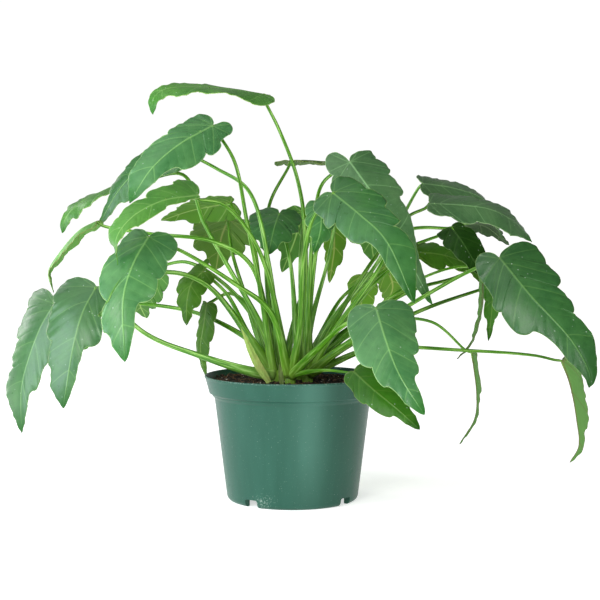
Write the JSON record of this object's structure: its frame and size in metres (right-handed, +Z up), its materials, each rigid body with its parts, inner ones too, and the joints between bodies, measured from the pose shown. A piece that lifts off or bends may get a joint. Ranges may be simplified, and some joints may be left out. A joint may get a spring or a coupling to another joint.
{
  "type": "potted foliage plant",
  "caption": "Potted xanadu philodendron: lobed green leaves on long arching stalks that spread from crowns in a plain round nursery pot filled with soil.",
  "frame": {"origin": "centre of the box around the whole plant, on the surface that the pot stands on", "axes": "+Z up, +X to the right of one who faces the plant as pictured, which is the longest extent, +Y away from the viewer"},
  "size_m": [0.516, 0.3538, 0.3638],
  "materials": {
    "pot": "satin sea-green moulded polypropylene with a faint bloom",
    "soil": "damp dark peat with reddish fibres",
    "stalks": "smooth satin light green leaf stalk",
    "leaf": "waxy satin green leaf with paler veins and margin",
    "sheath": "dry papery pale sheath"
  },
  "bodies": {
    "root": {"pot": "pot", "soil": "soil", "crown_left": "stalks", "crown_front": "stalks", "crown_right": "stalks", "crown_back_right": "stalks", "crown_back_left": "stalks", "blade_01": "leaf", "blade_02": "leaf", "blade_03": "leaf", "blade_04": "leaf", "blade_05": "leaf", "blade_06": "leaf", "blade_07": "leaf", "blade_08": "leaf", "blade_09": "leaf", "blade_10": "leaf", "blade_11": "leaf", "blade_12": "leaf", "blade_13": "leaf", "blade_14": "leaf", "blade_15": "leaf", "blade_16": "leaf", "blade_17": "leaf", "blade_18": "leaf", "blade_19": "leaf", "blade_20": "leaf", "blade_21": "leaf", "blade_22": "leaf", "blade_23": "leaf", "blade_24": "leaf", "blade_25": "leaf", "blade_26": "leaf", "blade_27": "leaf", "blade_28": "leaf", "blade_29": "leaf", "blade_30": "leaf", "blade_31": "leaf", "blade_32": "leaf", "blade_33": "leaf", "blade_34": "leaf", "blade_35": "leaf", "blade_36": "leaf", "blade_37": "leaf", "blade_38": "leaf", "blade_39": "leaf", "blade_40": "leaf", "sheath_1": "sheath", "sheath_2": "sheath"}
  },
  "joints": []
}
